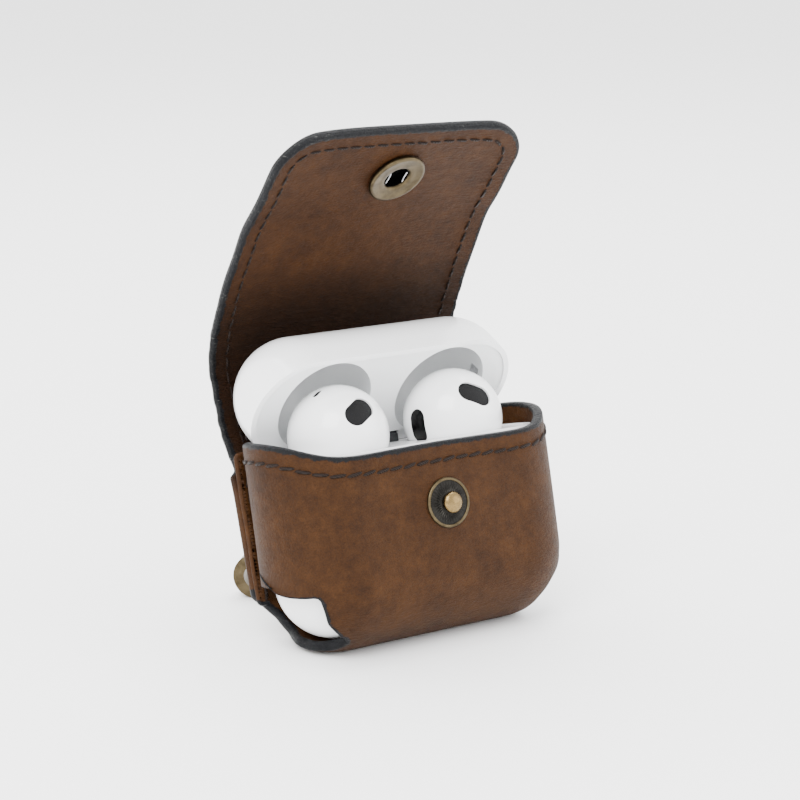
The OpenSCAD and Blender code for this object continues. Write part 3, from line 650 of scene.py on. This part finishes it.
# Lower edge of each ear, then the strip under the case: the left one was cut with a hook
lower_r = [(EAR_END, -4.4, 1.2), (40, -5.4, 3), (32.2, -6.0, 4), (27, -5.9, 3), (23.2, -7.8, 3),
           (21, -10.8, 3), (20.1, -14, 3), (20.6, -16.5, 3), (22.4, -20, 4), (23.2, -24, 4),
           (22.6, -28.2, 3), *lip_side]
lower_l = [(EAR_END, -4.4, 1.2), (40, -5.6, 3), (34, -6.2, 3), (29.8, -4.1, 3), (26.2, -2.8, 0.9),
           (25.2, -5.8, 2), (24.2, -8.6, 2), (21.6, -10.9, 1.6), (19.6, -12.0, 1.8), (20.9, -15.0, 3),
           (23.0, -18.5, 4), (23.8, -23, 4), (22.4, -27.6, 3), *lip_side]
side_r = [(float(np.interp(l, *WIDE_R)), STRAP_T - l, 0) for l in CUTS_L[1:]]
side_l = [(float(np.interp(l, *WIDE_L)), STRAP_T - l, 0) for l in CUTS_L[1:]]


def to_left(points):
    """Outline points mirrored to the left side."""
    return [(-x, y, r) for x, y, r in points]


# round the sheet: the flap's end, the right side, the rim, the left side
rim_line = [*rim_pts, *to_left(rim_pts[:-1][::-1])]
flap_tip = [(-WIDE_L[1][-1], flap_end_t, END_ROUND_LEFT), (WIDE_R[1][-1], flap_end_t + 0.9, END_ROUND)]
corners = [*flap_tip, *side_r[::-1], *lower_r[::-1], corner_top, *rim_line,
           *to_left([corner_top, *lower_l, *side_l])]
# the first cut crosses the wide part of the back, so the outline gets a point on it there
BACK_EDGE = 25
with_cut = []
for i, (x, y, r) in enumerate(corners):
    with_cut.append((x, y, r))
    x2, y2, _ = corners[(i + 1) % len(corners)]
    if abs(x) > BACK_EDGE and abs(x2) > BACK_EDGE and (y - CUTS[0]) * (y2 - CUTS[0]) < 0:
        with_cut.append((x + (x2 - x) * (CUTS[0] - y) / (y2 - y), CUTS[0], 0))
LOOP = rounded(with_cut)
for c in CUTS:
    for sgn in (-1, 1):
        near = [i for i in range(len(LOOP)) if LOOP[i, 0] * sgn > 20 and abs(LOOP[i, 1] - c) < 0.6]
        best = min(near, key=lambda i: abs(LOOP[i, 1] - c))
        LOOP[best, 1] = c

# ---- The sheet, parted between the flap's joints --------------------------------

verts, faces, rim, where = panel(LOOP, skin, THICK, cuts=CUTS)
whole = bpy.data.meshes.new("whole")
whole.from_pydata([tuple(v) for v in verts], [], faces)
bm = bmesh.new()
bm.from_mesh(whole)
bmesh.ops.recalc_face_normals(bm, faces=bm.faces)
bm.to_mesh(whole)
bm.free()
normals = np.zeros(len(verts) * 3)
whole.vertices.foreach_get("normal", normals)
normals = normals.reshape(-1, 3)
polys = [tuple(p.vertices) for p in whole.polygons]
# the socket's hole in the leather
HOLE_R = 2.9
socket_t = STRAP_T - L_SOCKET
centre = [where[list(p)].mean(0) for p in polys]
kept = [i for i, (cs, ct) in enumerate(centre) if np.hypot(cs, ct - socket_t) >= HOLE_R]
polys = [polys[i] for i in kept]
centre_t = [centre[i][1] for i in kept]
bands = [1e9, *CUTS, -1e9]
across = np.abs(where[:, 0])
down = where[:, 1]
# the crease zone, where the flap bends behind the lid: its fold lines get a bump and painted shade
crease = smooth(STRAP_T - L_JOINT[0] + 4, STRAP_T - L_JOINT[0] - 3, down)
crease = crease * smooth(STRAP_T - L_JOINT[2] - 16, STRAP_T - L_JOINT[2] + 2, down)
crease = np.maximum(np.clip(crease, 0, 1), 0.12)
# the cut edges in the seams are bare
UNPAINTED = 2.0
bare = (across > BACK_EDGE) & (down < -37) & (down > FOLD_T + 0.6)
bare |= (across > 43.5) & (down > -2.8) & (down < 22)
rim[bare] = UNPAINTED
wear = 0.25 + 0.75 * smooth(14, 24, across) * (down < STRAP_T)
# painted shade: darker over the flap's lower part, from the fold, fading out about two thirds along
fold_shade = smooth(STRAP_T - 58, STRAP_T - 36, down) * (down < FOLD_T)
SHEET_VALUES = {"rim": rim, "crease": crease, "wear": wear, "fold_shade": fold_shade}
# Each piece: its name, the CAD's leather and thread there, and for the flap the two bodies on either side
# of its bend and the reach of the bend
PIECES = [
    ("sleeve_skin", "sleeve_leather", None, None, None),
    ("flap_root_skin", "flap_base", "flap_thread_base", ("sleeve", "flap_lower"), 3.4),
    ("flap_bend_skin", "flap_bend", "flap_thread_bend", ("flap_lower", "flap_middle"), 3.6),
    ("flap_crown_skin", "flap_crown", "flap_thread_crown", ("flap_middle", "flap_upper"), 3.0),
    ("flap_end_skin", "flap_front", "flap_thread_front", ("flap_upper", "flap_end"), 4.6),
]


def sheet_piece(name, faces, slot):
    """A piece of the sheet, with the whole sheet's normals so that no line shows where pieces meet."""
    me = bpy.data.meshes.new(name)
    used = sorted({i for f in faces for i in f})
    index = {g: i for i, g in enumerate(used)}
    me.from_pydata([tuple(verts[g]) for g in used], [], [tuple(index[i] for i in f) for f in faces])
    me.polygons.foreach_set("use_smooth", [True] * len(me.polygons))
    for key, values in SHEET_VALUES.items():
        me.attributes.new(key, "FLOAT", "POINT").data.foreach_set("value", [float(values[g]) for g in used])
    me.normals_split_custom_set_from_vertices([tuple(normals[g]) for g in used])
    obj = bpy.data.objects.new(name, me)
    bpy.context.collection.objects.link(obj)
    paint(obj, slot)
    return obj


for k, (name, node, _, bodies, _) in enumerate(PIECES):
    mine = [p for p, c in zip(polys, centre_t) if bands[k + 1] < c <= bands[k]]
    # the flap's pieces take the darker leather, a painted shade
    obj = sheet_piece(name, mine, "leather_flap" if bodies else "leather_body")
    if bodies:
        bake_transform(obj)
    else:
        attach(obj, "sleeve")
    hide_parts(node)

# ---- Stitches ---------------------------------------------------------------
STEPS = 7
SIDES = 6


def tube_faces(base, steps, sides):
    """The faces along a closed tube of so many steps, whose points start at base."""
    out = []
    for j in range(steps - 1):
        near, far = base + j * sides, base + (j + 1) * sides
        for k in range(sides):
            m = (k + 1) % sides
            out.append((near + k, near + m, far + m, far + k))
    return out


def stitches(path, height, side, closed_gap=0.12, thick=0.3, slant=0.2):
    """Lock stitches along a path in the flat, on the outer (side 1) or the inner face (side -1)."""
    d = np.r_[0, np.cumsum(np.linalg.norm(np.diff(path, axis=0), axis=1))]
    n = int(d[-1] / PITCH)
    pitch = d[-1] / n
    out = []
    for i in range(n):
        u = np.linspace(i * pitch + closed_gap / 2, (i + 1) * pitch - closed_gap / 2, STEPS)
        c = np.stack([np.interp(u, d, path[:, 0]), np.interp(u, d, path[:, 1])], 1)
        t = c[-1] - c[0]
        t /= np.linalg.norm(t)
        w = np.array([-t[1], t[0]])
        lean = slant * (1 + 0.5 * rng.uniform(-1, 1))
        k = np.linspace(-1, 1, STEPS)
        c = c + w * (lean * k)[:, None] + w * rng.uniform(-0.06, 0.06)
        full = np.sqrt(np.clip(1 - np.abs(k) ** 3, 0.02, 1))
        ring = []
        for j in range(STEPS):
            for q in range(SIDES):
                a = 2 * math.pi * q / SIDES
                r = thick * (0.45 + 0.55 * full[j])
                st = c[j] + w * r * math.cos(a)
                h = height + side * (thick * (full[j] * 0.75 - 0.25) + r * 0.8 * math.sin(a))
                ring.append((st[0], st[1], h))
        out.append(np.array(ring))
    return out


def sew(name, groups, surface):
    """One mesh from many stitches, laid on the surface."""
    points, faces = [], []
    for i, ring in enumerate(groups):
        base = i * STEPS * SIDES
        last = base + (STEPS - 1) * SIDES
        points.append(surface(ring[:, 0], ring[:, 1], ring[:, 2]))
        faces += tube_faces(base, STEPS, SIDES)
        faces.append(tuple(base + q for q in range(SIDES))[::-1])
        faces.append(tuple(last + q for q in range(SIDES)))
    return make(name, np.concatenate(points), faces, "thread")


rim_path = inset(np.array([(x, y) for x, y, _ in rim_line]), RIM_STITCH_IN)
rim_groups = stitches(rim_path, THICK / 2 - SUNK, 1)
obj = sew("rim_stitches", rim_groups, skin)
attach(obj, "sleeve")
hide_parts("rim_thread")

flap_path = inset(LOOP, STITCH_IN)
flap_path = flap_path[flap_path[:, 1] < FOLD_T + 1.0]
begin = int(np.argmax(np.linalg.norm(flap_path - np.roll(flap_path, 1, 0), axis=1)))
flap_path = np.roll(flap_path, -begin, 0)
if flap_path[0, 0] > 0:
    flap_path = flap_path[::-1]
inner = stitches(flap_path, -THICK / 2 + SUNK, -1, thick=0.27, slant=0.12, closed_gap=0.4)
outer = stitches(flap_path, THICK / 2 - SUNK, 1)
for k, (_, _, thread, bodies, _) in enumerate(PIECES):
    mine = [g for g in inner + outer if bands[k + 1] < g[:, 1].mean() <= bands[k]]
    if thread is None:
        continue
    obj = sew("flap_stitches_%d" % k, mine, skin)
    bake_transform(obj)
    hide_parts(thread)

# ---- Seam lips at the back corners -------------------------------------------
LIP_Y = 10.5
lip_box = [(24.2, LIP_LOW, 0.5), (LIP_W - LIP_TAPER, LIP_LOW, 0.9), (LIP_W, LIP_TOP, 0.9),
           (24.9, LIP_TOP, 0.5)]
lip_seam = np.stack([np.linspace(24.9, 25.7, 30), np.linspace(LIP_LOW + 0.6, LIP_TOP - 0.4, 30)], 1)
for sgn, label in ((-1, "left"), (1, "right")):

    def lip(s, t, h, sgn=sgn):
        """The lip's place in the row frame: s across, t up, h out of its front face."""
        y = LIP_Y - h + 0.08 * np.sin(t * 0.5)
        return stand(np.stack([sgn * s, y, t], -1))

    v, f, edge, flat = panel(rounded(lip_box, 0.6), lip, LIP_THICK, grid=0.7)
    obj = make("seam_lip_" + label, v, f, "leather_body", "sleeve")
    values = [UNPAINTED if p[1] > LIP_LOW + 1.0 else float(q) for p, q in zip(flat, edge)]
    obj.data.attributes.new("rim", "FLOAT", "POINT").data.foreach_set("value", values)
    obj = sew("seam_stitches_" + label, stitches(lip_seam, 0.55, 1), lip)
    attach(obj, "sleeve")
    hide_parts("seam_thread_" + label)

# ---- Snap -------------------------------------------------------------------
front = Vector(stand(np.array((0, -BALL, STUD_Z))))
out_dir = turn((0, -1, 0))
stud_rim = [(3.75, 0.0), (3.8, 0.34), (3.92, 0.5), (4.15, 0.52), (4.35, 0.36), (4.4, 0.1), (4.35, -0.1)]
lathe("stud_rim", stud_rim, front, out_dir, "antique_brass", "sleeve", "stud_flange", 64)

RIBS = 36
stud_plate = [(3.85, -0.05), (3.82, 0.3), (3.4, 0.3), (2.9, 0.26), (2.4, 0.24), (1.95, 0.3), (1.7, 0.55),
              (1.45, 0.62), (1.2, 0.6), (1.0, 0.5)]


def ribs(r, a):
    """Height of the ribs on the stud's plate at radius r and angle a."""
    return 0.17 * (0.5 + 0.5 * math.cos(RIBS * a)) ** 1.5 if 1.9 < r < 3.4 else 0


lathe("stud_ribs", stud_plate, front, out_dir, "dark_plate", "sleeve", "stud_ribbed_plate", 216, wave=ribs)

HEAD_R = 1.9
HEAD_AT = [-50, -35, -20, -5, 10, 25, 40, 55, 68, 80, 87]
head = [(1.15, -0.2), (1.15, 0.75)]
head += [(HEAD_R * math.cos(a), 1.45 + 1.05 * math.sin(a)) for a in np.radians(HEAD_AT)]
head += [(0.02, 2.5)]
head = [(r, min(h, 2.2 + 0.28 * (1 - (r / HEAD_R) ** 2))) for r, h in head]
lathe("stud_head", head, front, out_dir, "post_brass", "sleeve", "stud_post", 40)

sock = np.array(FLAP_LINE[-1]) + SOCKET_ALONG * end_dir
inner_dir = turn((0, -end_dir[1], end_dir[0]))
seat = Vector(stand(np.array((0, *sock))))
dish = [(2.35, -0.9), (2.35, 0.62), (2.5, 0.82), (2.75, 0.9), (3.3, 0.92), (4.0, 0.98), (4.6, 1.1),
        (4.95, 1.15), (5.2, 1.05), (5.3, 0.8), (5.28, 0.4), (5.05, 0.02), (4.6, -0.1)]
lathe("socket_dish", dish, seat, inner_dir, "antique_brass", "flap_end", "socket_ring", 64, loop=True)
# The well inside the socket is near black: painted shade for the hollow of the hole.
well = [(2.38, -0.85), (2.36, 0.45), (2.3, 0.45), (2.28, -1.55), (0.05, -1.58)]
lathe("socket_well", well, seat, inner_dir, "black_window", "flap_end", None, 40, caps=(False, True))

# The spring: two bowed wires across the socket
WIRE_R = 0.13
WIRE_STEPS = 13
q = Vector((0, 0, 1)).rotation_difference(inner_dir)
wire_points, wire_faces = [], []
for sgn in (-1, 1):
    base = len(wire_points)
    last = base + (WIRE_STEPS - 1) * SIDES
    for j in range(WIRE_STEPS):
        a = -0.95 + 1.9 * j / (WIRE_STEPS - 1)
        c = Vector((sgn * (1.62 + 0.25 * (1 - math.cos(a))), 1.5 * math.sin(a), 0.5))
        for k in range(SIDES):
            b = 2 * math.pi * k / SIDES
            wire_points.append(seat + q @ (c + WIRE_R * Vector((math.cos(b), 0, math.sin(b)))) / 1000)
    wire_faces += tube_faces(base, WIRE_STEPS, SIDES)
    wire_faces.append(tuple(base + k for k in range(SIDES)))
    wire_faces.append(tuple(last + k for k in range(SIDES)))
make("socket_wire", wire_points, wire_faces, "steel", "flap_end", "socket_spring")

# ---- Leather loop behind ------------------------------------------------------
BAR_Y, BAR_Z = 12.95 + 0.95 + 1.2, 19.0
WRAP_R = 1.52
TAB_W = 5.6
WRAP_AT = [180, 210, 240, 270, 300, 330, 360, 390, 415]
# down the back of the sleeve, round the bar and up again
tab_line = [(13.65, 29.3), (13.62, 26), (13.6, 22.5), (13.58, 20.2)]
tab_line += [(BAR_Y + WRAP_R * math.cos(a), BAR_Z + WRAP_R * math.sin(a)) for a in np.radians(WRAP_AT)]
tab_line += [(15.2, 21.3), (14.75, 22.3)]
TS, TL, TAB_LEN = spline(tab_line)
tab_dir = np.gradient(TL, TS, axis=0)
tab_dir /= np.linalg.norm(tab_dir, axis=1)[:, None]


def tab(s, t, h):
    """The strap's place in the row frame, with t along its line."""
    py, pz = np.interp(t, TS, TL[:, 0]), np.interp(t, TS, TL[:, 1])
    ty, tz = np.interp(t, TS, tab_dir[:, 0]), np.interp(t, TS, tab_dir[:, 1])
    return stand(np.stack([s, py - h * tz, pz + h * ty], -1))


tab_box = [(-TAB_W / 2, 0, 1.4), (TAB_W / 2, 0, 1.4), (TAB_W / 2, TAB_LEN - 0.3, 0.7),
           (-TAB_W / 2, TAB_LEN - 0.3, 0.7)]
v, f, edge, flat = panel(rounded(tab_box, 0.5), tab, TAB_THICK, grid=0.6)
obj = make("loop_strap", v, f, "leather_flap", "sleeve", "loop_tab")
obj.data.attributes.new("rim", "FLOAT", "POINT").data.foreach_set("value", [float(e) for e in edge])

# ---- Studio -------------------------------------------------------------------
FLOOR_HALF = 8
WORLD_LIGHT = 3.0
floor_mesh = bpy.data.meshes.new("floor")
square = [(-1, -1), (1, -1), (1, 1), (-1, 1)]
floor_mesh.from_pydata([(x * FLOOR_HALF, y * FLOOR_HALF, 0) for x, y in square], [], [(0, 1, 2, 3)])
floor = bpy.data.objects.new("floor", floor_mesh)
bpy.context.collection.objects.link(floor)
m = Nodes("floor")
off_white = m.mix(m.noise(m.coords((1, 1, 1)), 2.0, 2), (0.9, 0.9, 0.9), (0.91, 0.91, 0.91))
floor_mesh.materials.append(m.put(Base_Color=off_white, Roughness=0.6, Specular_IOR_Level=0.2))

world = bpy.data.worlds.new("studio")
bpy.context.scene.world = world
world.use_nodes = True
background = world.node_tree.nodes["Background"]
background.inputs[0].default_value = (1, 1, 1, 1)
background.inputs[1].default_value = WORLD_LIGHT


def softbox(name, place, aim, size, power):
    """A rectangular lamp of size (width, height) in metres, aimed at a point."""
    lamp = bpy.data.objects.new(name, bpy.data.lights.new(name, "AREA"))
    bpy.context.collection.objects.link(lamp)
    lamp.data.shape = "RECTANGLE"
    lamp.data.size, lamp.data.size_y = size
    lamp.data.energy = power
    lamp.location = place
    lamp.rotation_mode = "QUATERNION"
    lamp.rotation_quaternion = (Vector(aim) - Vector(place)).to_track_quat("-Z", "Y")


softbox("key", (-0.55, -0.35, 0.75), (0, 0, 0.03), (0.6, 0.6), 13.0)
softbox("fill", (0.6, -0.6, 0.35), (0, 0, 0.04), (0.7, 0.5), 3.0)
softbox("top", (0.1, 0.35, 0.9), (0, 0, 0.03), (0.9, 0.7), 12.0)
